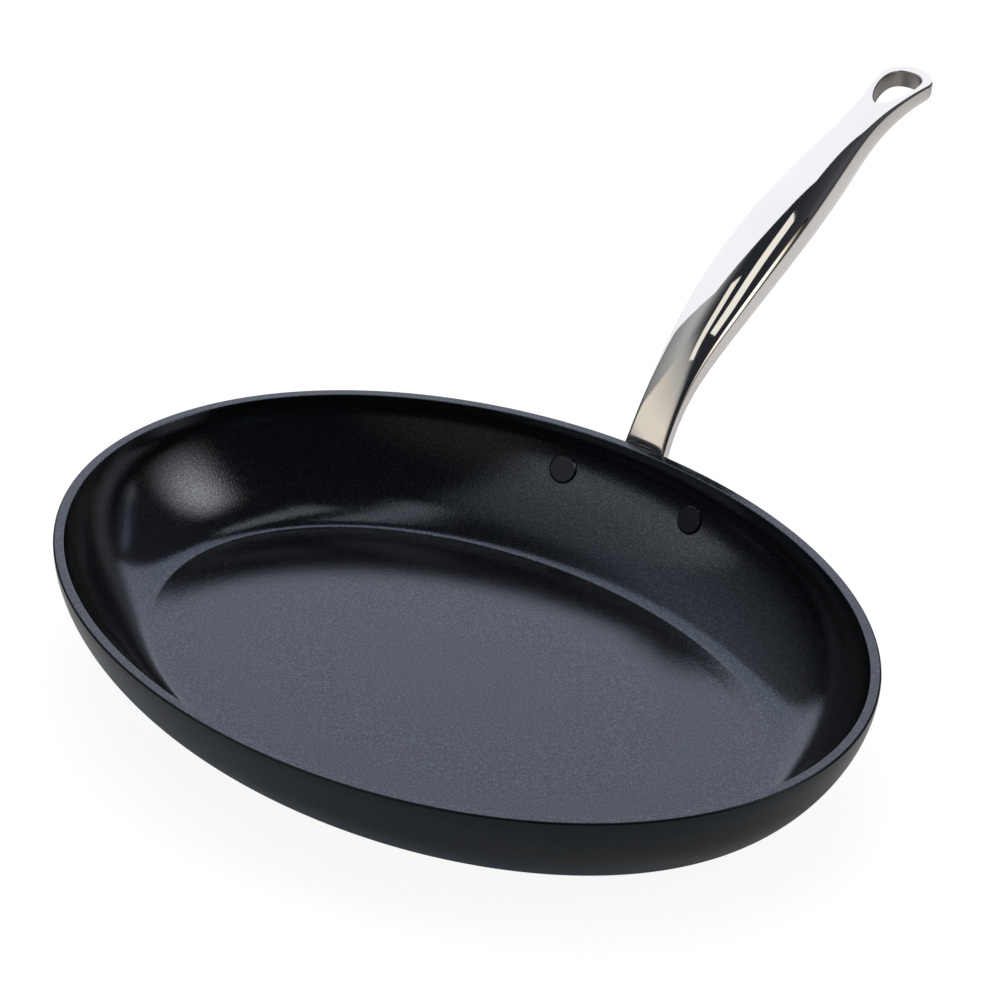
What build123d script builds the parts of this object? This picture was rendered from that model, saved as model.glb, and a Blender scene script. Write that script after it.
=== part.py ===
# Oval omelette pan: a coated aluminium bowl, a pierced steel plate pressed into its underside, and
# a cast stainless handle held by two rivets through the wall of one long side.
# Millimetres, +Z up. The origin is the middle of the underside, where the pan rests. The oval is
# long along X, and the handle leaves the middle of its long side along +Y.
from build123d import *
from math import sqrt
import os

# Bowl
pan_length = 350.0           # over the rim, along X
pan_width = 264.0            # over the rim, along Y
pan_height = 50.0
rim_land = 4.4               # flat top of the rim
rim_inner_round = 0.5
rim_outer_round = 0.8
floor_length = 276.0         # flat cooking floor
floor_width = 183.5
floor_thickness = 5.8
base_margin = 1.7            # the flat underside is this much larger all round than the floor
# The wall's curve from rim to floor: share of its run inwards left, share of its depth reached.
# It leaves the rim upright and meets the floor at a low slope.
wall_curve_shares = [(1.0, 0.0), (1.0, 0.4), (0.4, 0.92), (0.0, 1.0)]
wall_levels = 9              # ovals that the wall is drawn through

# Induction plate in the underside
plate_length = 236.0
plate_width = 146.0
plate_thickness = 0.6
plate_gap = 0.05             # round the plate's edge and its holes
pierce_radius = 3.0
pierce_pitch = 25.0          # between holes of a row; rows are closer, as in a hexagon pattern
pierce_margin = 9.0          # plain metal left between the holes' centres and the plate's edge

# Handle: one casting. Its centreline is level with the edges of its top face and runs from the
# rim's outer edge to the eye.
handle_reach = 199.9         # from the rim's outer edge to the middle of the eye, along Y
handle_rise = 89.3           # from the rim's top to the top of the eye
handle_stand_off = 0.2       # of the stem's inner face from the rim's outer edge
grip_width = 26.4
grip_thickness = 13.0        # below its top edges, where the grip is widest
eye_radius = 11.9
eye_thickness = 7.6
# Points that control the centreline's curve: share of the reach, share of the rise. It starts
# steeply and ends level.
centreline_shares = [(0.0, 0.0), (0.076, 0.312), (0.174, 0.483), (0.349, 0.628), (0.561, 0.826),
                     (0.793, 1.0), (1.0, 1.0)]
# Sections along the centreline: share of its length, width and thickness as shares of the grip's,
# crown of the top face and radius of its edge as shares of the section's thickness, and the hollow
# of the underside as a share of it too.
section_shares = [(0.0, 0.734, 0.42, 0.10, 0.30, 0.0),
                  (0.105, 0.708, 0.51, 0.12, 0.28, 0.0),
                  (0.19, 0.778, 0.67, 0.16, 0.22, 0.02),
                  (0.28, 0.903, 0.765, 0.20, 0.14, 0.12),
                  (0.40, 0.998, 0.87, 0.24, 0.10, 0.24),
                  (0.55, 0.989, 1.0, 0.22, 0.09, 0.30),
                  (0.71, 0.776, 1.12, 0.14, 0.08, 0.26),
                  (0.86, 0.623, 0.87, 0.05, 0.09, 0.08),
                  (0.93, 0.737, 0.685, 0.02, 0.10, 0.0)]
side_depth_shares = (0.65, 0.22)   # upright part of the side, and its lower corner's draw-in

# Root of the stem, which spreads over the wall into the saddle, lowest section first: depth below
# the rim along the stem's direction, width and thickness, as shares of the saddle's height, the
# rivets' spacing and the stem's own thickness.
root_shares = [(1.25, 0.52, 0.90), (0.85, 0.405, 0.95), (0.42, 0.335, 0.98)]

# Saddle: the handle's foot, a plate that follows the wall and takes the rivets.
saddle_height = 23.0
saddle_thickness = 4.0
saddle_gap = 0.1             # between saddle and wall
rivet_spacing = 62.8
rivet_level_share = 0.305    # where along the wall's curve the rivets sit

# Hang hole, a teardrop with its point towards the pan
hang_length = 30.6
hang_width = 16.0
eye_wall = 6.1               # metal beyond the hole at the very end
# Points that control one side of its outline, from the round end to the point: share of the half
# width, share of the length
hang_round_shares = [(0.0, 0.0), (0.64, 0.0), (1.0, 0.09), (1.0, 0.33)]
hang_taper_shares = [(1.0, 0.33), (1.0, 0.62), (0.5, 0.93), (0.0, 1.0)]

# Rivets: flat bevelled heads inside, shanks through wall and saddle, domed heads outside
rivet_radius = 3.2
rivet_fit = 0.1              # radial, in the holes
head_radius = 5.8
head_seat = 0.6              # depth of the flat seat cut into the curved wall
head_proud = 0.9             # head above the wall
head_bevel = 0.5
tail_radius = 5.2
tail_height = 2.6
tail_seat = 0.4              # depth of the flat seat cut into the saddle

overrun = 2.0                # how far cutters pass the faces that they cut


def curve_at(shares, t):
    """Point and direction at t on the cubic curve that four points of shares control."""
    p, q, r, s = [Vector(*share) for share in shares]
    u = 1 - t
    point = p * u**3 + q * (3 * u**2 * t) + r * (3 * u * t**2) + s * t**3
    direction = (q - p) * (3 * u**2) + (r - q) * (6 * u * t) + (s - r) * (3 * t**2)
    return point, direction


def wall_level(rim, low, depth, t):
    """Half axes and drop below the rim of the wall's oval at t, and the way they change there."""
    at, along = curve_at(wall_curve_shares, t)
    runs = [(wide - narrow) / 2 for wide, narrow in zip(rim, low)]
    halves = [narrow / 2 + run * at.X for narrow, run in zip(low, runs)]
    changes = [run * along.X for run in runs]
    return halves, depth * at.Y, changes, depth * along.Y


def bowl_shape(rim, low, depth, grow=0.0):
    """Solid inside a wall that runs from the rim's oval down to the low oval, made larger all
    over by grow. Its top is at the rim's height."""
    ovals = []
    for level in range(wall_levels):
        halves, drop, changes, fall = wall_level(rim, low, depth, level / (wall_levels - 1))
        slope = sqrt(changes[1] ** 2 + fall**2)
        outwards = grow * fall / slope
        downwards = -grow * changes[1] / slope
        oval = Ellipse(halves[0] + outwards, halves[1] + outwards)
        ovals.append(Pos(0, 0, pan_height - drop - downwards) * oval)
    return loft(ovals)


rim_outside = (pan_length, pan_width)
rim_inside = (pan_length - 2 * rim_land, pan_width - 2 * rim_land)
floor_size = (floor_length, floor_width)
base_size = (floor_length + 2 * base_margin, floor_width + 2 * base_margin)
floor_depth = pan_height - floor_thickness


def wall_point(rim, low, depth, x, t):
    """Point of a wall at level t, x from the middle, on the handle's side."""
    halves, drop, changes, fall = wall_level(rim, low, depth, t)
    along = x / halves[0]
    across = sqrt(1 - along**2)
    point = Vector(x, halves[1] * across, pan_height - drop)
    round_the_oval = Vector(-halves[0] * across, halves[1] * along, 0)
    down_the_wall = Vector(changes[0] * along, changes[1] * across, -fall)
    return point, round_the_oval.cross(down_the_wall).normalized()


def rivet_plane(side):
    """Plane on the inside of the wall at a rivet, its Z pointing into the pan, and the wall's
    thickness there."""
    x = side * rivet_spacing / 2
    inside, normal = wall_point(rim_inside, floor_size, floor_depth, x, rivet_level_share)
    outside = wall_point(rim_outside, base_size, pan_height, x, rivet_level_share)[0]
    if normal.Z < 0:
        normal = normal * -1
    return Plane(inside, z_dir=normal), (inside - outside).dot(normal)


rivet_sides = (-1, 1)


def round_bar(radius, low, high):
    """Upright bar of a radius between two heights."""
    return Pos(0, 0, (low + high) / 2) * Cylinder(radius, high - low)


def tail_level(wall):
    """Height of the rivet tail's flat seat, measured from the wall's inside."""
    return tail_seat - saddle_thickness - saddle_gap - wall


def make_pan_body():
    body = bowl_shape(rim_outside, base_size, pan_height)
    hollow = bowl_shape(rim_inside, floor_size, floor_depth)
    mouth = extrude(Pos(0, 0, pan_height) * Ellipse(rim_inside[0] / 2, rim_inside[1] / 2), overrun)
    body = body - hollow - mouth
    rim_edges = body.edges().group_by(Axis.Z)[-1].sort_by(SortBy.LENGTH)
    body = fillet(rim_edges[0], rim_inner_round)
    rim_edges = body.edges().group_by(Axis.Z)[-1].sort_by(SortBy.LENGTH)
    body = fillet(rim_edges[-1], rim_outer_round)
    for side in rivet_sides:
        plane, wall = rivet_plane(side)
        seat = round_bar(head_radius + rivet_fit, -head_seat, overrun)
        hole = round_bar(rivet_radius + rivet_fit, -wall - overrun, overrun)
        body -= plane.location * (seat + hole)
    recess = make_plate(plate_gap)
    return body - recess


def pierce_places():
    """Centres of the plate's holes: rows along X, each shifted by half a pitch from the next. The
    plate's own centre lies between two holes."""
    half_length = plate_length / 2 - pierce_margin
    half_width = plate_width / 2 - pierce_margin
    row_pitch = pierce_pitch * sqrt(3) / 2
    rows = int(half_width // row_pitch)
    places = []
    for row in range(-rows, rows + 1):
        y = row * row_pitch
        shift = 0 if row % 2 else pierce_pitch / 2
        reach = half_length * sqrt(1 - (y / half_width) ** 2)
        first = -int((reach + shift) // pierce_pitch)
        last = int((reach - shift) // pierce_pitch)
        for column in range(first, last + 1):
            places.append((column * pierce_pitch + shift, y))
    return places


def make_plate(grow=0.0):
    """The pierced plate. Its recess in the bowl is the same shape, larger by the gap, and leaves
    the bowl's metal standing in the holes."""
    face = Ellipse(plate_length / 2 + grow, plate_width / 2 + grow)
    hole = Circle(pierce_radius - grow)
    face = face - [Pos(x, y) * hole for x, y in pierce_places()]
    return extrude(face, plate_thickness)


def rim_edge():
    """Where the handle's centreline starts: just outside the rim, level with its top."""
    return Vector(0, pan_width / 2 + handle_stand_off, pan_height)


def eye_centre():
    return rim_edge() + Vector(0, handle_reach, handle_rise)


def make_centreline():
    start = rim_edge()
    points = [start + Vector(0, handle_reach * reach, handle_rise * rise)
              for reach, rise in centreline_shares]
    return Bezier(*points)


def section_curves(width, thickness, crown_share, edge_share, hollow_share):
    """Right half of the handle's section, x across and y down from the level of its top edges: the
    points that control the crowned top, its rounded edge, the side and the underside."""
    half = width / 2
    edge = thickness * edge_share
    crown = thickness * crown_share
    shoulder = half - edge
    shoulder_level = -2 * crown * edge / shoulder
    top = shoulder_level - crown
    upright, draw_in = side_depth_shares
    side = thickness - edge
    foot = half - side * draw_in
    hollow_level = thickness * (1 - hollow_share)
    return [
        [(0, top), (shoulder / 2, top), (shoulder, shoulder_level)],
        [(shoulder, shoulder_level), (half, 0), (half, edge)],
        [(half, edge), (half, edge + side * upright), (half, thickness), (foot, thickness)],
        [(foot, thickness), (foot / 2, hollow_level), (0, hollow_level)],
    ]


def make_section(*shape):
    """Whole section as a face: the right half's curves and their mirror."""
    right = section_curves(*shape)
    edges = []
    for points in right:
        edges.append(Bezier(*points))
    for points in reversed(right):
        edges.append(Bezier(*[(-x, y) for x, y in reversed(points)]))
    return make_face(edges)


def section_plane(location, direction):
    return Plane(location, x_dir=(1, 0, 0), z_dir=direction)


def make_handle():
    centreline = make_centreline()
    sections = []
    start = centreline @ 0
    direction = centreline % 0
    stem_share, *stem_shape = section_shares[0][2:]
    for depth, width, thickness in root_shares:
        place = section_plane(start - direction * (saddle_height * depth), direction)
        sections.append(place * make_section(rivet_spacing * width,
                                             grip_thickness * stem_share * thickness, *stem_shape))
    for along, width, thickness, crown, edge, hollow in section_shares:
        place = section_plane(centreline @ along, centreline % along)
        sections.append(place * make_section(grip_width * width, grip_thickness * thickness,
                                             crown, edge, hollow))
    eye_shape = (2 * eye_radius, eye_thickness, 0.0, section_shares[-1][4], 0.0)
    eye_plane = section_plane(centreline @ 1, centreline % 1)
    sections.append(eye_plane * make_section(*eye_shape))
    bar = loft(sections)

    # The eye's round end: half of the last section turned about the eye's upright axis
    half_edges = [Bezier(*points) for points in section_curves(*eye_shape)]
    half_edges.append(Line((0, eye_thickness), (0, 0)))
    eye_end = revolve(eye_plane * make_face(half_edges), Axis(eye_centre(), (0, 0, 1)), 180)

    handle = bar + eye_end + make_saddle()
    handle -= bowl_shape(rim_outside, base_size, pan_height, saddle_gap)
    return handle - make_hang_hole()


def make_saddle():
    """Plate between two copies of the wall, cut to a slot shape round the two rivets."""
    plate = bowl_shape(rim_outside, base_size, pan_height, saddle_gap + saddle_thickness)
    middle = rivet_plane(1)[0].origin.Z
    outline = Plane.XZ * (Pos(0, middle) * SlotCenterToCenter(rivet_spacing, saddle_height))
    return plate & extrude(outline, -pan_width)


def make_hang_hole():
    """Teardrop through the eye, its round end towards the handle's tip."""
    centre = eye_centre()
    tip = centre.Y + eye_radius - eye_wall
    outline = []
    for side in (1, -1):
        for shares in (hang_round_shares, hang_taper_shares):
            outline.append(Bezier(*[(side * hang_width / 2 * across, tip - hang_length * along)
                                    for across, along in shares]))
    return extrude(Pos(0, 0, centre.Z - handle_rise / 2) * make_face(outline), handle_rise)


def make_rivet(plane, wall):
    low = tail_level(wall)
    outline = Polyline((0, head_proud), (head_radius - head_bevel, head_proud),
                       (head_radius, head_proud - head_bevel), (head_radius, -head_seat),
                       (rivet_radius, -head_seat), (rivet_radius, low), (tail_radius, low))
    dome_radius = (tail_radius**2 + tail_height**2) / (2 * tail_height)
    dome = RadiusArc((tail_radius, low), (0, low - tail_height), dome_radius)
    axis_line = Line((0, low - tail_height), (0, head_proud))
    face = Plane.XZ * make_face([outline, dome, axis_line])
    return plane.location * revolve(face, Axis.Z)


def make_rivet_space(wall):
    """What the handle gives up to a rivet: its hole, and the room and flat seat of its tail."""
    low = tail_level(wall)
    hole = round_bar(rivet_radius + rivet_fit, low - overrun, overrun)
    return hole + round_bar(tail_radius + rivet_fit, low - tail_height - overrun, low)


os.makedirs("parts", exist_ok=True)

pan_body = make_pan_body()
handle = make_handle()
rivets = []
for side in rivet_sides:
    plane, wall = rivet_plane(side)
    handle -= plane.location * make_rivet_space(wall)
    rivets.append(make_rivet(plane, wall))

export_step(pan_body, "parts/pan_body.step")
export_step(make_plate(), "parts/base_plate.step")
export_step(handle, "parts/handle.step")
export_step(Compound(children=rivets), "parts/rivets.step")
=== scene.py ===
# Oval omelette pan, dressed for the camera: a coated aluminium bowl with a pierced steel plate in
# its underside, and a mirror-polished cast handle held by two coated rivets.
# Metres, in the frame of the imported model: +Z up, the pan stands on Z = 0, the handle leaves along
# +Y.
from math import cos, pi, radians, sin, sqrt

import bmesh
import bpy
import numpy as np
from mathutils import Matrix, Vector


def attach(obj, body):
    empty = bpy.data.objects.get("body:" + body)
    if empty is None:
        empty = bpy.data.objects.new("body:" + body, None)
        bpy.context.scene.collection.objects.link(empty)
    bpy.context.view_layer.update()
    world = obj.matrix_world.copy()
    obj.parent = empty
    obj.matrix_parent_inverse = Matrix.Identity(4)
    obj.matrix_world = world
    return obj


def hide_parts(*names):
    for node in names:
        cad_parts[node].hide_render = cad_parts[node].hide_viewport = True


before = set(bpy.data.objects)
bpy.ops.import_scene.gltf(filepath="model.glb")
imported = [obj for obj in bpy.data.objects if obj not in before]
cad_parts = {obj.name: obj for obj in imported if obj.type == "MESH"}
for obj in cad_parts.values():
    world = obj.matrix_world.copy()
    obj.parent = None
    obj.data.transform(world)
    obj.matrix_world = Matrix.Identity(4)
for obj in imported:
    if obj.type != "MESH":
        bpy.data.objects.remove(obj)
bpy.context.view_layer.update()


# Camera
# The photograph was taken with a long lens from the front right, a third of the way up, with the
# camera rolled a little to the right.
camera_turn = radians(33.309)
camera_lift = radians(33.281)
camera_roll = radians(2.412)
camera_distance = 1.6851
camera_side_step = Vector((0.01551, 0.03571))
rim_height = 0.050

level_right = Vector((cos(camera_turn), sin(camera_turn), 0))
backwards = Vector((sin(camera_turn) * cos(camera_lift), -cos(camera_turn) * cos(camera_lift),
                    sin(camera_lift)))
level_up = backwards.cross(level_right)
camera_right = level_right * cos(camera_roll) + level_up * sin(camera_roll)
camera_up = level_up * cos(camera_roll) - level_right * sin(camera_roll)

camera = bpy.data.objects.new("camera", bpy.data.cameras.new("camera"))
camera.data.sensor_width = 36.0
camera.data.lens = 154.8
camera.data.clip_start = 0.05
camera.data.clip_end = 40.0
camera.location = (backwards * camera_distance + camera_right * camera_side_step.x
                   + camera_up * camera_side_step.y + Vector((0, 0, rim_height)))
camera.rotation_mode = "QUATERNION"
camera.rotation_quaternion = Matrix((camera_right, camera_up, backwards)).transposed().to_quaternion()
bpy.context.scene.collection.objects.link(camera)
bpy.context.scene.camera = camera
bpy.context.scene.view_settings.view_transform = "Standard"


# Bowl
# Aluminium. Inside and over the rim it has a speckled dark ceramic non-stick coat, and outside
# a smoother satin one. The wall leaves the rim upright and turns into the flat floor in one curve.
rim_halves = (0.175, 0.132)
rim_land = 0.0044
rim_inner_round = 0.0005
rim_outer_round = 0.0008
floor_halves = (0.138, 0.09175)
floor_thickness = 0.0058
base_margin = 0.0017
# Share of the wall's run inwards left, share of its depth reached
wall_curve = [Vector((1.0, 0.0)), Vector((1.0, 0.4)), Vector((0.4, 0.92)), Vector((0.0, 1.0))]
plate_halves = (0.118, 0.073)
plate_thickness = 0.0006
plate_gap = 0.00005
pierce_radius = 0.003
pierce_pitch = 0.025
pierce_margin = 0.009
rivet_spacing = 0.0628
rivet_share = 0.305
rivet_head_radius = 0.0058

inside_colour = (0.0030, 0.0034, 0.0042)
inside_fleck_colour = (0.010, 0.011, 0.013)
inside_tint = (0.63, 0.77, 1.0)
# Colour of the painted shade in the gap round each rivet head
gap_shade_colour = (0.001, 0.001, 0.001)
glaze_index = 1.61
fleck_index_gain = 0.46
# Low index of the painted shade round the rivet heads, so that it reflects little
gap_shade_index = 1.2
outside_colour = (0.0040, 0.0055, 0.0072)
outside_tint = (0.58, 0.80, 1.0)

oval_steps = 288
wall_steps = 48
round_steps = 6
floor_steps = 16
crease = 0.0005             # width of the narrow ring beside a crease
rim_easing = 0.0001         # the same beside the rim's rounded edges
floor_dome = 0.0012         # in the middle


def along_curve(points, share):
    """Point on the curve that the points control."""
    while len(points) > 1:
        points = [first.lerp(second, share) for first, second in zip(points, points[1:])]
    return points[0]


def wall_place(rim, low, depth, share):
    """Half axes and height of one of the wall's ovals, at a share of its curve."""
    left, down = along_curve(wall_curve, share)
    return [narrow + (wide - narrow) * left for wide, narrow in zip(rim, low)], rim_height - depth * down


def grown(halves, more):
    return [half + more for half in halves]


rim_inside = grown(rim_halves, -rim_land)
base_halves = grown(floor_halves, base_margin)
floor_depth = rim_height - floor_thickness
recess_halves = grown(plate_halves, plate_gap)
quarter = [pi / 2 * step / round_steps for step in range(round_steps + 1)]

# Ovals from the middle of the floor up the inside and over the rim, then down the outside and
# under. The floor is domed by a little.
inside_ovals = []
for share in np.linspace(0.06, 0.99, floor_steps):
    halves = [half * share for half in floor_halves]
    inside_ovals.append((halves, floor_thickness + floor_dome * (1 - share**2)))
inside_ovals += [wall_place(rim_inside, floor_halves, floor_depth, share)
                 for share in np.linspace(0.985, 0.0095, wall_steps)]
inner_middle = grown(rim_inside, rim_inner_round)
inside_ovals += [(grown(inner_middle, -rim_inner_round * cos(turn)),
                  rim_height - rim_inner_round * (1 - sin(turn))) for turn in quarter]
inside_ovals.append((grown(inner_middle, rim_easing), rim_height))
outer_middle = grown(rim_halves, -rim_outer_round)
inside_ovals.append((grown(outer_middle, -rim_easing), rim_height))
outside_ovals = [(grown(outer_middle, rim_outer_round * cos(turn)),
                  rim_height - rim_outer_round * (1 - sin(turn))) for turn in quarter[::-1]]
outside_ovals += [wall_place(rim_halves, base_halves, rim_height, share)
                  for share in np.linspace(0.0135, 0.99, wall_steps)]
outside_ovals += [(base_halves, 0.0), (grown(base_halves, -crease), 0.0),
                  (grown(recess_halves, crease), 0.0), (recess_halves, 0.0),
                  (recess_halves, plate_thickness)]

bowl_mesh = bmesh.new()
ovals = inside_ovals + outside_ovals
halves, level = ovals[0]
shape = Matrix.Translation((0, 0, level)) @ Matrix.Diagonal((*halves, 1, 1))
bmesh.ops.create_circle(bowl_mesh, cap_ends=True, segments=oval_steps, radius=1, matrix=shape)
edges = list(bowl_mesh.edges)
for number, (next_halves, next_level) in enumerate(ovals[1:], 1):
    grown_part = bmesh.ops.extrude_edge_only(bowl_mesh, edges=edges)["geom"]
    ring = [part for part in grown_part if isinstance(part, bmesh.types.BMVert)]
    growth = (next_halves[0] / halves[0], next_halves[1] / halves[1], 1)
    bmesh.ops.scale(bowl_mesh, vec=growth, verts=ring)
    bmesh.ops.translate(bowl_mesh, vec=(0, 0, next_level - level), verts=ring)
    members = set(ring)
    edges = [edge for edge in {edge for vertex in ring for edge in vertex.link_edges}
             if edge.verts[0] in members and edge.verts[1] in members]
    for face in {face for edge in edges for face in edge.link_faces}:
        face.material_index = int(number > len(inside_ovals))
    halves, level = next_halves, next_level
recess_floor = bmesh.ops.contextual_create(bowl_mesh, geom=edges)["faces"][0]
recess_floor.material_index = 1

# The metal that stands in the plate's holes, in rows along X, every other one shifted by half a
# pitch
half_length = plate_halves[0] - pierce_margin
half_width = plate_halves[1] - pierce_margin
row_pitch = pierce_pitch * sqrt(3) / 2
rows = int(half_width // row_pitch)
stud_radius = pierce_radius - plate_gap
for row in range(-rows, rows + 1):
    shift = 0 if row % 2 else pierce_pitch / 2
    reach = half_length * sqrt(1 - (row * row_pitch / half_width) ** 2)
    first = -int((reach + shift) // pierce_pitch)
    last = int((reach - shift) // pierce_pitch)
    for column in range(first, last + 1):
        x = column * pierce_pitch + shift
        place = Matrix.Translation((x, row * row_pitch, plate_thickness / 2))
        stud = bmesh.ops.create_cone(bowl_mesh, cap_ends=True, segments=32, radius1=stud_radius,
                                     radius2=stud_radius, depth=plate_thickness, matrix=place)
        for face in {face for vertex in stud["verts"] for face in vertex.link_faces}:
            face.material_index = 1
bmesh.ops.recalc_face_normals(bowl_mesh, faces=bowl_mesh.faces)


sharp_from = radians(38)


def piece_from(mesh, name, materials):
    """A finished piece from a bmesh: smooth, but for its sharp edges."""
    data = bpy.data.meshes.new(name)
    mesh.to_mesh(data)
    mesh.free()
    for material in materials:
        data.materials.append(material)
    for polygon in data.polygons:
        polygon.use_smooth = True
    data.set_sharp_from_angle(angle=sharp_from)
    piece = bpy.data.objects.new(name, data)
    bpy.context.scene.collection.objects.link(piece)
    return piece


def new_finish(name):
    """A material with one shader, and that shader."""
    material = bpy.data.materials.new(name)
    material.use_nodes = True
    nodes = material.node_tree.nodes
    nodes.clear()
    output = nodes.new("ShaderNodeOutputMaterial")
    shader = nodes.new("ShaderNodeBsdfPrincipled")
    material.node_tree.links.new(shader.outputs["BSDF"], output.inputs["Surface"])
    return material, shader


def add_node(tree, kind, inputs=None, **settings):
    """One node of a tree, with its settings and its inputs, which are values or other sockets."""
    node = tree.nodes.new("ShaderNode" + kind)
    for setting, value in settings.items():
        setattr(node, setting, value)
    for socket, value in (inputs or {}).items():
        if isinstance(value, bpy.types.NodeSocket):
            tree.links.new(value, node.inputs[socket])
        else:
            node.inputs[socket].default_value = value
    return node


def grain(tree, place, size, detail=2.0, roughness=0.5):
    """Even noise from 0 to 1 with features of about a size in metres."""
    return add_node(tree, "TexNoise", {"Vector": place, "Scale": 1 / size, "Detail": detail,
                                       "Roughness": roughness}).outputs["Fac"]


def spread(tree, value, low, high, to_low=0.0, to_high=1.0, smooth=False):
    """A value carried from one range to another, clamped at its ends."""
    return add_node(tree, "MapRange", {"Value": value, "From Min": low, "From Max": high,
                                       "To Min": to_low, "To Max": to_high},
                    interpolation_type="SMOOTHSTEP" if smooth else "LINEAR").outputs["Result"]


def blend_colours(tree, share, first, second):
    """Two colours mixed by a share from 0 to 1."""
    node = tree.nodes.new("ShaderNodeMix")
    node.data_type = "RGBA"
    for socket, value in ((node.inputs[0], share), (node.inputs[6], first), (node.inputs[7], second)):
        if isinstance(value, bpy.types.NodeSocket):
            tree.links.new(value, socket)
        else:
            socket.default_value = (*value, 1) if isinstance(value, tuple) else value
    return node.outputs[2]


def arithmetic(tree, operation, first, second=0.0):
    return add_node(tree, "Math", {0: first, 1: second}, operation=operation).outputs[0]


def raise_surface(tree, shader, height, distance, strength=1.0):
    bump = add_node(tree, "Bump", {"Height": height, "Distance": distance, "Strength": strength})
    tree.links.new(bump.outputs["Normal"], shader.inputs["Normal"])


# The inside coat: dark flecked glaze, glossy, with a fine orange skin that scatters reflections
inside_coat, inside_shader = new_finish("inside_coat")
inside_tree = inside_coat.node_tree
inside_place = add_node(inside_tree, "TexCoord").outputs["Object"]
flecks = spread(inside_tree, grain(inside_tree, inside_place, 0.0007, 2.0, 0.6), 0.45, 0.72)
mottling = grain(inside_tree, inside_place, 0.02, 3.0)
fleck_colour = blend_colours(inside_tree, flecks, inside_colour, inside_fleck_colour)

# Painted shade: a dark, dull ring round each rivet head, where the shaded gap of its seat in the wall
# would be
shade_ring_offset = 0.00015       # of the seam's middle from the head's edge
shade_rings = None
for side in (-1, 1):
    halves, level = wall_place(rim_inside, floor_halves, floor_depth, rivet_share)
    x = side * rivet_spacing / 2
    spot = Vector((x, halves[1] * sqrt(1 - (x / halves[0]) ** 2), level))
    above, above_level = wall_place(rim_inside, floor_halves, floor_depth, rivet_share - 0.01)
    upwards = Vector((x, above[1] * sqrt(1 - (x / above[0]) ** 2), above_level)) - spot
    round_the_wall = Vector((halves[0] ** 2 * spot.y, -halves[1] ** 2 * x, 0))
    rivet_axis = upwards.cross(round_the_wall).normalized()
    from_spot = add_node(inside_tree, "VectorMath", {0: inside_place, 1: spot},
                         operation="SUBTRACT").outputs[0]
    away_from_axis = add_node(inside_tree, "VectorMath", {0: from_spot, 1: rivet_axis},
                              operation="CROSS_PRODUCT").outputs[0]
    distance = add_node(inside_tree, "VectorMath", {0: away_from_axis},
                        operation="LENGTH").outputs["Value"]
    shade_ring = arithmetic(inside_tree, "SUBTRACT", distance, rivet_head_radius + shade_ring_offset)
    shade_ring = arithmetic(inside_tree, "ABSOLUTE", shade_ring)
    shade_ring = spread(inside_tree, shade_ring, 0.00035, 0.00015)
    shade_rings = arithmetic(inside_tree, "MAXIMUM", shade_rings, shade_ring) if shade_rings else shade_ring
# The painted shade rings darken the coat round the rivet heads
fleck_colour = blend_colours(inside_tree, shade_rings, fleck_colour, gap_shade_colour)
inside_tree.links.new(fleck_colour, inside_shader.inputs["Base Color"])
inside_roughness = arithmetic(inside_tree, "ADD", spread(inside_tree, mottling, 0.3, 0.7, 0.09, 0.11),
                              arithmetic(inside_tree, "MULTIPLY", flecks, 0.05))
inside_roughness = arithmetic(inside_tree, "MAXIMUM", inside_roughness,
                              arithmetic(inside_tree, "MULTIPLY", shade_rings, 0.6))
inside_tree.links.new(inside_roughness, inside_shader.inputs["Roughness"])
inside_index = arithmetic(inside_tree, "ADD",
                          spread(inside_tree, shade_rings, 0, 1, glaze_index, gap_shade_index),
                          spread(inside_tree, flecks, 0, 1, 0.0, fleck_index_gain))
inside_tree.links.new(inside_index, inside_shader.inputs["IOR"])
raise_surface(inside_tree, inside_shader, grain(inside_tree, inside_place, 0.0007, 1.0), 0.00004, 0.7)
inside_shader.inputs["Specular Tint"].default_value = (*inside_tint, 1)

# The outside coat: plain satin, with the faint waves of a sprayed surface
outside_coat, outside_shader = new_finish("outside_coat")
outside_tree = outside_coat.node_tree
outside_place = add_node(outside_tree, "TexCoord").outputs["Object"]
outside_shader.inputs["Base Color"].default_value = (*outside_colour, 1)
outside_clouds = grain(outside_tree, outside_place, 0.02, 3.0)
outside_waves = grain(outside_tree, outside_place, 0.0009, 2.0)
outside_tree.links.new(spread(outside_tree, outside_clouds, 0.3, 0.7, 0.22, 0.28),
                       outside_shader.inputs["Roughness"])
raise_surface(outside_tree, outside_shader, outside_waves, 0.00002, 0.25)
outside_shader.inputs["IOR"].default_value = 1.38
outside_shader.inputs["Specular Tint"].default_value = (*outside_tint, 1)

bowl = piece_from(bowl_mesh, "coated_bowl", [inside_coat, outside_coat])
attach(bowl, "root")
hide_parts("pan_body")


# Base plate
# A disc of magnetic stainless steel pressed into the underside, for induction hobs, brushed, its lines
# running along X.
plate_colour = (0.56, 0.56, 0.57)
plate_heated_colour = (0.46, 0.45, 0.44)

plate_steel, plate_shader = new_finish("plate_steel")
plate_tree = plate_steel.node_tree
plate_place = add_node(plate_tree, "TexCoord").outputs["Object"]
brushing = grain(plate_tree, add_node(plate_tree, "Mapping", {"Vector": plate_place,
                 "Scale": (0.02, 1, 1)}).outputs["Vector"], 0.0006, 4.0, 0.6)
heat_marks = grain(plate_tree, plate_place, 0.05, 3.0)
plate_tree.links.new(blend_colours(plate_tree, spread(plate_tree, heat_marks, 0.35, 0.75),
                     plate_colour, plate_heated_colour), plate_shader.inputs["Base Color"])
plate_tree.links.new(spread(plate_tree, brushing, 0.3, 0.7, 0.24, 0.42),
                     plate_shader.inputs["Roughness"])
raise_surface(plate_tree, plate_shader, brushing, 0.00002, 0.4)
plate_shader.inputs["Metallic"].default_value = 1.0

base_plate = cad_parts["base_plate"]
base_plate.data.materials.clear()
base_plate.data.materials.append(plate_steel)


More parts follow.
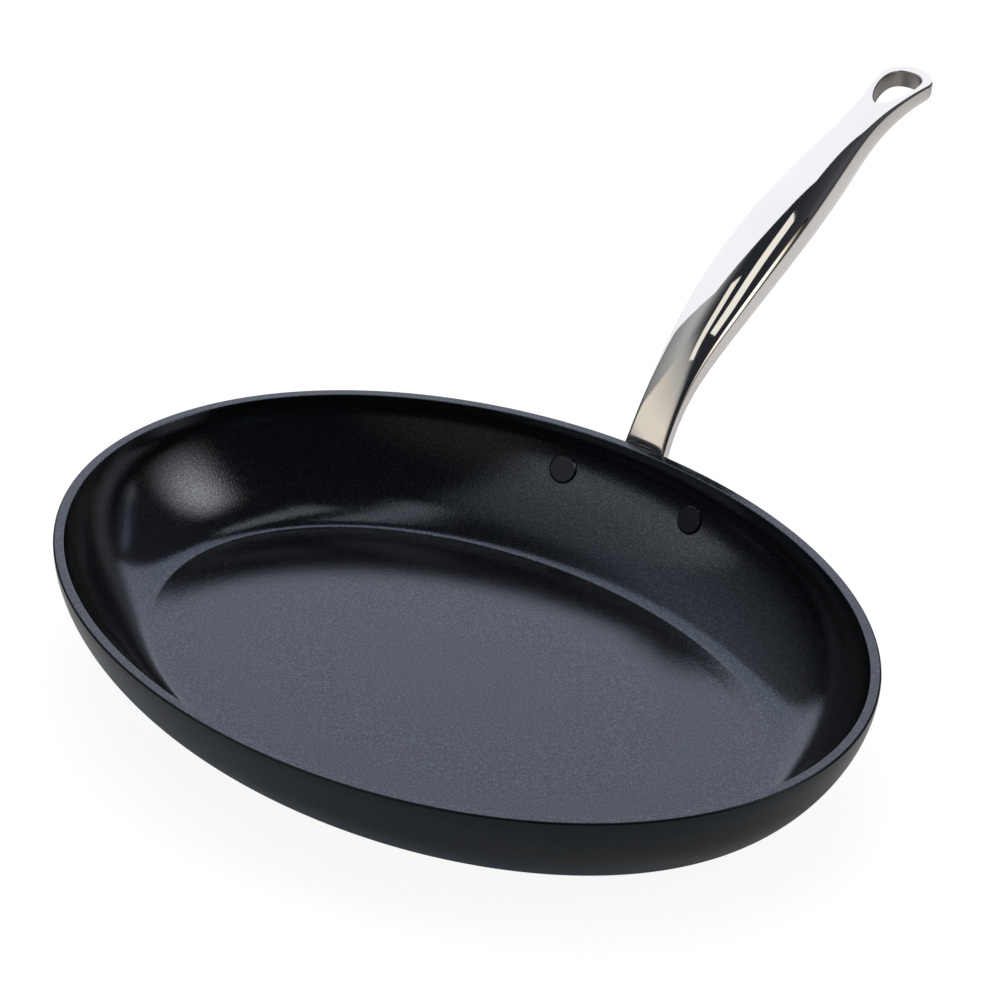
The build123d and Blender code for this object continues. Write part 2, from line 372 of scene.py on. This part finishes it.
# Handle
# One stainless steel casting, ground and mirror-polished all over. A steep stem rises from the rim
# and flattens into a long grip with a crowned top, nearly upright sides and a shallow hollow below.
# It ends in a round eye with a teardrop hole. Its foot is a curved plate outside the wall.
grip_width = 0.0264
grip_thickness = 0.0130
centreline_start = Vector((0, 0.1322, 0.050))
handle_reach = 0.1999
handle_rise = 0.0893
centreline_shares = [(0, 0), (0.076, 0.312), (0.174, 0.483), (0.349, 0.628), (0.561, 0.826),
                     (0.793, 1), (1, 1)]
# Along the centreline: share of its length, width and thickness as shares of the grip's, crown,
# edge radius and hollow as shares of the thickness there
section_shares = [(0.0, 0.734, 0.42, 0.10, 0.30, 0.0), (0.105, 0.708, 0.51, 0.12, 0.28, 0.0),
                  (0.19, 0.778, 0.67, 0.16, 0.24, 0.02), (0.28, 0.903, 0.765, 0.20, 0.19, 0.12),
                  (0.40, 0.998, 0.87, 0.24, 0.16, 0.24), (0.55, 0.989, 1.0, 0.22, 0.16, 0.30),
                  (0.71, 0.776, 1.12, 0.14, 0.15, 0.26), (0.86, 0.623, 0.87, 0.05, 0.15, 0.08),
                  (0.93, 0.737, 0.685, 0.02, 0.15, 0.0), (1.0, 0.9015, 0.5846, 0.0, 0.15, 0.0)]
# Shares of a side's depth: its upright part, and how far its lower corner is drawn in
upright, draw_in = 0.65, 0.22
# The root, which spreads over the wall: depth below the rim as a share of the saddle's height,
# width as a share of the rivets' spacing, thickness as a share of the stem's
root_shares = [(1.25, 0.52, 0.90), (0.85, 0.405, 0.95), (0.42, 0.335, 0.98)]
saddle_height = 0.023
saddle_level = wall_place(rim_inside, floor_halves, floor_depth, rivet_share)[1]
saddle_thickness = 0.004
saddle_gap = 0.0001
root_reach = 0.005          # above the rim, within which the root is kept outside the wall
eye_radius = 0.0119
centre_steps = 400
grip_rings = 120
handle_colours = ((0.68, 0.675, 0.67), (0.72, 0.715, 0.71))
hole_colour = (0.30, 0.29, 0.28)


def smooth_through(stations, values, place):
    """Values at a place on a smooth curve through the values at the stations."""
    steps = np.diff(stations)
    slopes = np.diff(values, axis=0) / steps[:, None]
    system = np.eye(len(stations))
    bends = np.zeros_like(values)
    for station in range(1, len(stations) - 1):
        before, after = steps[station - 1], steps[station]
        system[station, station - 1:station + 2] = before, 2 * (before + after), after
        bends[station] = 6 * (slopes[station] - slopes[station - 1])
    bends = np.linalg.solve(system, bends)
    span = min(max(np.searchsorted(stations, place) - 1, 0), len(steps) - 1)
    width = steps[span]
    left, right = (stations[span + 1] - place) / width, (place - stations[span]) / width
    return (left * values[span] + right * values[span + 1]
            + ((left**3 - left) * bends[span] + (right**3 - right) * bends[span + 1]) * width**2 / 6)


def half_section(width, thickness, crown_share, edge_share, hollow_share):
    """Right half of the handle's section, from the middle of its top round to the middle of its
    underside: x across, y down from the level of the top edges."""
    half = width / 2
    edge = thickness * edge_share
    shoulder = half - edge
    shoulder_level = -2 * thickness * crown_share * edge / shoulder
    top = shoulder_level - thickness * crown_share
    side = thickness - edge
    foot = half - side * draw_in
    hollow = thickness * (1 - hollow_share)
    curves = [([(0, top), (shoulder / 2, top), (shoulder, shoulder_level)], 14),
              ([(shoulder, shoulder_level), (half, 0), (half, edge)], 9),
              ([(half, edge), (half, edge + side * upright), (half, thickness), (foot, thickness)], 16),
              ([(foot, thickness), (foot / 2, hollow), (0, hollow)], 8)]
    outline = []
    for points, steps in curves:
        points = [Vector(point) for point in points]
        outline += [along_curve(points, step / steps) for step in range(steps)]
    return outline + [Vector((0, hollow))]


# The centreline, by its length
centre_points = [centreline_start + Vector((0, handle_reach * reach, handle_rise * rise))
                 for reach, rise in centreline_shares]
centre_fine = [along_curve(centre_points, step / centre_steps) for step in range(centre_steps + 1)]
lengths = np.array([0] + [(b - a).length for a, b in zip(centre_fine, centre_fine[1:])]).cumsum()
centreline_length = float(lengths[-1])


def centre_at(share):
    """Point and direction of the centreline at a share of its length."""
    place = np.interp(share * centreline_length, lengths, np.arange(centre_steps + 1))
    step = float(place) / centre_steps
    step = min(max(step, 0.001), 0.999) if 0 < share < 1 else float(share >= 1)
    heading = [second - first for first, second in zip(centre_points, centre_points[1:])]
    return along_curve(centre_points, step), along_curve(heading, step).normalized()


# The outside of the bowl's wall, which the root and the foot of the handle follow
wall_ovals = [wall_place(rim_halves, base_halves, rim_height, 1 - step / 200) for step in range(201)]
wall_heights = np.array([level for halves, level in wall_ovals])
wall_lengths = np.array([halves[0] for halves, level in wall_ovals])
wall_widths = np.array([halves[1] for halves, level in wall_ovals])
wall_climb = np.gradient(wall_heights)
wall_spread = np.gradient(wall_widths)
wall_slope = np.hypot(wall_climb, wall_spread)


def wall_outside(x, z, out):
    """How far along Y the wall's outside is at x and z, once the wall is grown by out all over."""
    outwards = out * wall_climb / wall_slope
    heights = wall_heights - out * wall_spread / wall_slope
    half_length = float(np.interp(z, heights, wall_lengths + outwards))
    half_width = float(np.interp(z, heights, wall_widths + outwards))
    return half_width * sqrt(1 - (x / half_length) ** 2)


stations = []
station_shapes = []
stem_thickness, *stem_shape = section_shares[0][2:]
for depth, width, thickness in root_shares:
    stations.append(-saddle_height * depth / centreline_length)
    station_shapes.append([rivet_spacing * width, grip_thickness * stem_thickness * thickness,
                           *stem_shape])
for share, width, thickness, crown, edge, hollow in section_shares:
    stations.append(share)
    station_shapes.append([grip_width * width, grip_thickness * thickness, crown, edge, hollow])
stations = np.array(stations)
station_shapes = np.array(station_shapes)

# A ring for each step along the bar, bridged to the next
handle_mesh = bmesh.new()
previous = None
for ring_place in np.linspace(stations[0], 1.0, grip_rings):
    centre, heading = centre_at(max(ring_place, 0.0))
    centre = centre + heading * (min(ring_place, 0.0) * centreline_length)
    down = heading.cross(Vector((1, 0, 0)))
    half = half_section(*smooth_through(stations, station_shapes, ring_place))
    outline = half + [Vector((-point.x, point.y)) for point in half[-2:0:-1]]
    ring = []
    for point in outline:
        ring.append(handle_mesh.verts.new(centre + Vector((point.x, 0, 0)) + down * point.y))
    edges = [handle_mesh.edges.new((a, b)) for a, b in zip(ring, ring[1:] + ring[:1])]
    if previous:
        bmesh.ops.bridge_loops(handle_mesh, edges=previous + edges)
    else:
        handle_mesh.faces.new(ring)
    previous = edges

# The eye's round end: the last section's right half turned about the middle of the eye
eye_centre = centre_at(1.0)[0]
eye_half = [handle_mesh.verts.new(eye_centre + Vector((point.x, 0, -point.y)))
            for point in half_section(*station_shapes[-1])]
eye_edges = [handle_mesh.edges.new(pair) for pair in zip(eye_half, eye_half[1:])]
bmesh.ops.spin(handle_mesh, geom=eye_half + eye_edges, cent=eye_centre, axis=(0, 0, 1), angle=pi,
               steps=44, use_merge=False)
bmesh.ops.remove_doubles(handle_mesh, verts=handle_mesh.verts, dist=0.00001)
bmesh.ops.recalc_face_normals(handle_mesh, faces=handle_mesh.faces)


handle_steel, handle_shader = new_finish("handle_steel")
handle_tree = handle_steel.node_tree
handle_place = add_node(handle_tree, "TexCoord").outputs["Object"]
polishing = grain(handle_tree, add_node(handle_tree, "Mapping", {"Vector": handle_place,
                  "Scale": (1, 0.12, 0.12)}).outputs["Vector"], 0.0005, 4.0, 0.6)
cast_waves = grain(handle_tree, handle_place, 0.03, 1.0)
handle_tree.links.new(blend_colours(handle_tree, cast_waves, *handle_colours),
                      handle_shader.inputs["Base Color"])
handle_tree.links.new(spread(handle_tree, polishing, 0.35, 0.75, 0.02, 0.07),
                      handle_shader.inputs["Roughness"])
raise_surface(handle_tree, handle_shader, cast_waves, 0.00002, 0.3)
handle_shader.inputs["Metallic"].default_value = 1.0

# The hole's wall is ground but not polished
hole_steel, hole_shader = new_finish("hole_steel")
hole_tree = hole_steel.node_tree
hole_place = add_node(hole_tree, "TexCoord").outputs["Object"]
hole_lines = grain(hole_tree, add_node(hole_tree, "Mapping", {"Vector": hole_place,
                   "Scale": (1, 1, 0.05)}).outputs["Vector"], 0.0004, 3.0, 0.6)
hole_tree.links.new(spread(hole_tree, hole_lines, 0.3, 0.7, 0.30, 0.42), hole_shader.inputs["Roughness"])
raise_surface(hole_tree, hole_shader, hole_lines, 0.00002, 0.2)
hole_shader.inputs["Base Color"].default_value = (*hole_colour, 1)
hole_shader.inputs["Metallic"].default_value = 1.0

# Teardrop hole through the eye, its point towards the pan, its edges broken by a small chamfer
hole_length = 0.0306
hole_width = 0.0160
hole_margin = 0.0061        # metal left beyond the hole at the eye's end
hole_tip = eye_centre.y + eye_radius - hole_margin
hole_chamfer = 0.0004
hole_steps = 20
hole_curves = [[(0, 0), (0.64, 0), (1, 0.09), (1, 0.33)], [(1, 0.33), (1, 0.62), (0.5, 0.93), (0, 1)]]

hole_half = []
for shares in hole_curves:
    points = [Vector((hole_width / 2 * across, hole_tip - hole_length * along))
              for across, along in shares]
    hole_half += [along_curve(points, step / hole_steps) for step in range(hole_steps)]
hole_half.append(Vector((0, hole_tip - hole_length)))
hole_outline = hole_half + [Vector((-point.x, point.y)) for point in hole_half[-2:0:-1]]
centre_ys = [point.y for point in centre_fine]
centre_zs = [point.z for point in centre_fine]


def eye_level(y):
    """Height of the handle's top face at y."""
    return float(np.interp(y, centre_ys, centre_zs))


hole_middle = Vector((0, hole_tip - hole_length / 2))
hole_cutter = bmesh.new()
previous = None
for lift, flare in ((-0.02, 0), (-hole_chamfer, 0), (hole_chamfer, 2 * hole_chamfer),
                    (0.01, 2 * hole_chamfer)):
    ring = []
    for number, point in enumerate(hole_outline):
        before = hole_outline[number - 1]
        after = hole_outline[(number + 1) % len(hole_outline)]
        outward = Vector((before.y - after.y, after.x - before.x)).normalized()
        if outward.dot(point - hole_middle) < 0:
            outward = -outward
        spot = point + outward * flare
        ring.append(hole_cutter.verts.new((spot.x, spot.y, eye_level(point.y) + lift)))
    edges = [hole_cutter.edges.new((a, b)) for a, b in zip(ring, ring[1:] + ring[:1])]
    if previous:
        bmesh.ops.bridge_loops(hole_cutter, edges=previous + edges)
    else:
        hole_cutter.faces.new(ring)
    previous = edges
hole_cutter.faces.new(ring)
bmesh.ops.recalc_face_normals(hole_cutter, faces=hole_cutter.faces)
for face in hole_cutter.faces:
    face.material_index = 1
hole_piece = piece_from(hole_cutter, "hole_cutter", [handle_steel, hole_steel])

handle_bar = piece_from(handle_mesh, "handle_bar", [handle_steel, hole_steel])
cut = handle_bar.modifiers.new("hole", "BOOLEAN")
cut.operation = "DIFFERENCE"
cut.solver = "EXACT"
cut.material_mode = "INDEX"
cut.object = hole_piece
evaluated = bpy.context.evaluated_depsgraph_get()
cut_bar = bpy.data.meshes.new_from_object(handle_bar.evaluated_get(evaluated))
bar_mesh = bmesh.new()
bar_mesh.from_mesh(cut_bar)

# The root stays outside the wall
for vertex in bar_mesh.verts:
    x, y, z = vertex.co
    if z < rim_height + root_reach:
        vertex.co.y = max(y, wall_outside(x, z, saddle_gap))
bpy.data.objects.remove(handle_bar)
bpy.data.objects.remove(hole_piece)

# Foot of the handle: a plate between two grown copies of the wall, cut straight along Y to the
# shape of a slot. It takes the rivets.
saddle = bmesh.new()
bmesh.ops.create_grid(saddle, x_segments=56, y_segments=18, size=1)
for vertex in saddle.verts:
    rise = vertex.co.y * saddle_height / 2
    reach = rivet_spacing / 2 + sqrt(max((saddle_height / 2) ** 2 - rise**2, 0))
    x = vertex.co.x * reach
    vertex.co = (x, wall_outside(x, saddle_level + rise, saddle_gap), saddle_level + rise)
outer_part = bmesh.ops.extrude_face_region(saddle, geom=saddle.faces[:])["geom"]
for vertex in outer_part:
    if isinstance(vertex, bmesh.types.BMVert):
        vertex.co.y = wall_outside(vertex.co.x, vertex.co.z, saddle_gap + saddle_thickness)
bmesh.ops.recalc_face_normals(saddle, faces=saddle.faces)
saddle_data = bpy.data.meshes.new("saddle")
saddle.to_mesh(saddle_data)
saddle.free()
bar_mesh.from_mesh(saddle_data)
handle = piece_from(bar_mesh, "polished_handle", [handle_steel, hole_steel])
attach(handle, "root")
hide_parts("handle")


# Rivets
# Two aluminium rivets. Their flat heads inside the pan are coated with the bowl, and their formed
# ends outside the saddle are bare.
rivet_bare_from = 0.1240    # along Y, outside of which the metal is bare
rivet_bare_colour = (0.72, 0.72, 0.73)

rivet_finish, rivet_shader = new_finish("rivet_finish")
rivet_tree = rivet_finish.node_tree
rivet_place = add_node(rivet_tree, "TexCoord").outputs["Object"]
rivet_outer = spread(rivet_tree, add_node(rivet_tree, "SeparateXYZ", {0: rivet_place}).outputs["Y"],
                     rivet_bare_from, rivet_bare_from + 0.0002)
rivet_grain = grain(rivet_tree, rivet_place, 0.00055, 3.0, 0.7)
rivet_coat = blend_colours(rivet_tree, spread(rivet_tree, rivet_grain, 0.56, 0.72), inside_colour,
                           inside_fleck_colour)
rivet_tree.links.new(blend_colours(rivet_tree, rivet_outer, rivet_coat, rivet_bare_colour),
                     rivet_shader.inputs["Base Color"])
rivet_tree.links.new(rivet_outer, rivet_shader.inputs["Metallic"])
rivet_tree.links.new(spread(rivet_tree, rivet_outer, 0, 1, 0.14, 0.30), rivet_shader.inputs["Roughness"])
raise_surface(rivet_tree, rivet_shader, grain(rivet_tree, rivet_place, 0.0006, 2.0), 0.00003, 0.4)
rivet_shader.inputs["IOR"].default_value = 1.42
rivet_tree.links.new(blend_colours(rivet_tree, rivet_outer, inside_tint, (1.0, 1.0, 1.0)),
                     rivet_shader.inputs["Specular Tint"])

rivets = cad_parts["rivets"]
rivets.data.materials.clear()
rivets.data.materials.append(rivet_finish)


# Floor
# A plain pale floor that shows white to the camera and keeps the pan's shadow. It lies a hair below
# the pan. Where it is reflected or bounces light, its colour darkens away from the pan, a painted shade.
# It glows faintly near the pan, which lights the foot of the outer wall, and more under it,
# so that the underside isn't black from below.
floor_drop = 0.0003

floor_mesh = bmesh.new()
bmesh.ops.create_grid(floor_mesh, x_segments=1, y_segments=1, size=6,
                      matrix=Matrix.Translation((0, 0, -floor_drop)))
floor_data = bpy.data.meshes.new("floor")
floor_mesh.to_mesh(floor_data)
floor_mesh.free()
floor = bpy.data.objects.new("floor", floor_data)
bpy.context.scene.collection.objects.link(floor)

floor_paint = bpy.data.materials.new("floor_paint")
floor_paint.use_nodes = True
floor_tree = floor_paint.node_tree
floor_tree.nodes.clear()
floor_output = floor_tree.nodes.new("ShaderNodeOutputMaterial")
seen = add_node(floor_tree, "LightPath").outputs["Is Camera Ray"]
from_below = arithmetic(floor_tree, "MULTIPLY", seen,
                        add_node(floor_tree, "NewGeometry").outputs["Backfacing"])
floor_place = add_node(floor_tree, "TexCoord").outputs["Object"]
floor_reach = add_node(floor_tree, "VectorMath", {0: floor_place}, operation="LENGTH").outputs["Value"]
# Painted shade: for all but camera rays the floor's colour darkens from 0.45 m to 1 m out from the
# middle, standing in for light falling off across the table
floor_falloff_share = arithmetic(floor_tree, "MAXIMUM", seen,
                         spread(floor_tree, floor_reach, 0.45, 1.0, 1.0, 0.1, True))
floor_shaded_colour = blend_colours(floor_tree, floor_falloff_share, (0.0, 0.0, 0.0), (0.86, 0.86, 0.86))
floor_colour = add_node(floor_tree, "BsdfDiffuse", {"Color": floor_shaded_colour})
base_scale = (1 / base_halves[0], 1 / base_halves[1], 1)
base_place = add_node(floor_tree, "Mapping", {"Vector": floor_place,
                      "Scale": base_scale}).outputs["Vector"]
base_reach = add_node(floor_tree, "VectorMath", {0: base_place}, operation="LENGTH").outputs["Value"]
floor_under = spread(floor_tree, base_reach, 0.95, 0.99, 1.0, 0.0)
floor_near = spread(floor_tree, floor_reach, 0.12, 0.27, 0.06, 0.0, True)
floor_near = arithmetic(floor_tree, "MAXIMUM", floor_near,
                        arithmetic(floor_tree, "MULTIPLY", floor_under, 0.6))
floor_tone = blend_colours(floor_tree, arithmetic(floor_tree, "MAXIMUM", seen, floor_under),
                           (0.72, 1.0, 1.28), (1.0, 1.0, 1.0))
floor_white = add_node(floor_tree, "Emission", {"Color": floor_tone, "Strength": 1.15})
floor_glow = arithmetic(floor_tree, "MAXIMUM", arithmetic(floor_tree, "MULTIPLY", seen, 0.8), floor_near)
floor_mix = add_node(floor_tree, "MixShader", {0: floor_glow,
                     1: floor_colour.outputs[0], 2: floor_white.outputs[0]})
floor_clear = add_node(floor_tree, "BsdfTransparent")
floor_side = add_node(floor_tree, "MixShader", {0: from_below, 1: floor_mix.outputs[0],
                      2: floor_clear.outputs[0]})
floor_tree.links.new(floor_side.outputs[0], floor_output.inputs["Surface"])
floor_data.materials.append(floor_paint)


# Studio
# A tall white sheet stands behind the pan, two cream strips hang over it, a window is on the right,
# and grey and cream walls are on the left. The rest of the room is dark.
up = Vector((0, 0, 1))
away = Vector((-sin(camera_turn), cos(camera_turn), 0))
studio = bpy.data.worlds.new("studio")
bpy.context.scene.world = studio
studio.use_nodes = True
studio_tree = studio.node_tree
studio_tree.nodes.clear()
studio_output = studio_tree.nodes.new("ShaderNodeOutputWorld")
studio_light = studio_tree.nodes.new("ShaderNodeBackground")
studio_tree.links.new(studio_light.outputs[0], studio_output.inputs["Surface"])
direction = add_node(studio_tree, "TexCoord").outputs["Generated"]


def towards(way):
    return add_node(studio_tree, "VectorMath", {0: direction, 1: way},
                    operation="DOT_PRODUCT").outputs["Value"]


def past(value, edge, softness):
    """0 before an edge and 1 past it."""
    return spread(studio_tree, value, edge - softness, edge + softness, smooth=True)


def both(first, second):
    return arithmetic(studio_tree, "MULTIPLY", first, second)


def turned(degrees):
    """Level direction at an angle to the right of straight away from the camera."""
    return away * cos(radians(degrees)) + level_right * sin(radians(degrees))


height = towards(up)
low_enough = spread(studio_tree, height, 0.80, 0.97, 1.0, 0.0, True)
left_side = both(low_enough, past(towards(-level_right), 0.0, 0.02))
grey_wall = both(left_side, past(towards(turned(-38 - 90)), 0.0, 0.05))
cream_start = past(towards(turned(-93 - 90)), 0.0, 0.04)
wall_end = past(towards(turned(-140 + 90)), 0.0, 0.12)
cream_wall = both(both(left_side, cream_start), past(height, 0.30, 0.08))
cream_colour = blend_colours(studio_tree, spread(studio_tree, height, 0.5, 0.85), (0.95, 0.87, 0.76),
                             (0.50, 0.48, 0.45))
right_side = both(past(towards(turned(67)), 0.5, 0.3), past(height, 0.0, 0.1))
brown_corner = past(towards(turned(-140)), 0.80, 0.15)
room = blend_colours(studio_tree, right_side, (0.024, 0.027, 0.034), (0.09, 0.09, 0.10))
room = blend_colours(studio_tree, brown_corner, room, (0.20, 0.16, 0.12))
grey_colour = blend_colours(studio_tree, spread(studio_tree, height, 0.15, 0.75), (0.035, 0.037, 0.04),
                            (0.52, 0.52, 0.51))
room = blend_colours(studio_tree, both(grey_wall, wall_end), room, grey_colour)
room = blend_colours(studio_tree, both(cream_wall, wall_end), room, cream_colour)
seen = add_node(studio_tree, "LightPath").outputs["Is Camera Ray"]
room = blend_colours(studio_tree, seen, room, (1.0, 1.0, 1.0))
studio_tree.links.new(room, studio_light.inputs["Color"])


def bright_card(name, middle, half_run, half_rise, colour, soft=False):
    """A bright flat sheet, which shows in reflections but not to the camera. A soft one fades
    towards its edges."""
    sheet = bmesh.new()
    shape = Matrix((half_run, half_rise, half_run.cross(half_rise).normalized())).transposed().to_4x4()
    shape.translation = middle
    bmesh.ops.create_grid(sheet, x_segments=1, y_segments=1, size=1, matrix=shape)
    data = bpy.data.meshes.new(name)
    sheet.to_mesh(data)
    sheet.free()
    glow = bpy.data.materials.new(name)
    glow.use_nodes = True
    glow.node_tree.nodes.clear()
    glow_output = glow.node_tree.nodes.new("ShaderNodeOutputMaterial")
    glow_light = add_node(glow.node_tree, "Emission", {"Color": (*colour, 1)})
    if soft:
        place = add_node(glow.node_tree, "TexCoord").outputs["Generated"]
        place = add_node(glow.node_tree, "SeparateXYZ", {0: place})
        fades = []
        for way in ("X", "Z"):
            off_middle = arithmetic(glow.node_tree, "ABSOLUTE", arithmetic(
                glow.node_tree, "SUBTRACT", place.outputs[way], 0.5))
            fades.append(spread(glow.node_tree, off_middle, 0.0, 0.5, 1.0, 0.0, True))
        glow.node_tree.links.new(arithmetic(glow.node_tree, "MULTIPLY", *fades),
                                 glow_light.inputs["Strength"])
    glow.node_tree.links.new(glow_light.outputs[0], glow_output.inputs["Surface"])
    data.materials.append(glow)
    card = bpy.data.objects.new(name, data)
    card.visible_camera = False
    card.visible_shadow = False
    bpy.context.scene.collection.objects.link(card)


def studio_place(right, far, rise=0.0):
    return level_right * right + away * far + up * rise


def ceiling_strip(name, start, end, half_width, level, colour):
    """A bright strip overhead between two places, each right and away of the pan."""
    start, end = studio_place(*start), studio_place(*end)
    run = (end - start) / 2
    across = run.cross(up).normalized() * half_width
    bright_card(name, (start + end) / 2 + up * level, run, across, colour)


bright_card("white_sheet", studio_place(-0.014, 0.466, 0.53), level_right * 0.354, up * 0.477,
            (1.27, 1.26, 1.33))
ceiling_strip("left_strip", (-0.06, 0.27), (-0.26, -0.25), 0.070, 1.11, (1.15, 1.08, 0.98))
ceiling_strip("right_strip", (0.36, 0.33), (0.05, -0.13), 0.085, 1.11, (1.19, 1.12, 1.00))
window_way = turned(109)
bright_card("window", window_way * 1.2 + studio_place(-0.08, 0.10, 1.0),
            window_way.cross(up) * 0.48, up * 1.05, (4.3, 3.7, 3.15), soft=True)


def soft_lamp(name, place, size, power, colour):
    """A square lamp that looks at the pan and doesn't show in its mirror finish."""
    lamp = bpy.data.objects.new(name, bpy.data.lights.new(name, "AREA"))
    lamp.data.shape = "SQUARE"
    lamp.data.size = size
    lamp.data.energy = power
    lamp.data.color = colour
    lamp.location = place
    lamp.rotation_mode = "QUATERNION"
    lamp.rotation_quaternion = (Vector((0, 0.05, 0.03)) - Vector(place)).to_track_quat("-Z", "Y")
    lamp.visible_glossy = False
    bpy.context.scene.collection.objects.link(lamp)


soft_lamp("overhead_lamp", (-0.4, 0.3, 2.2), 1.8, 20.0, (1.0, 1.0, 1.0))
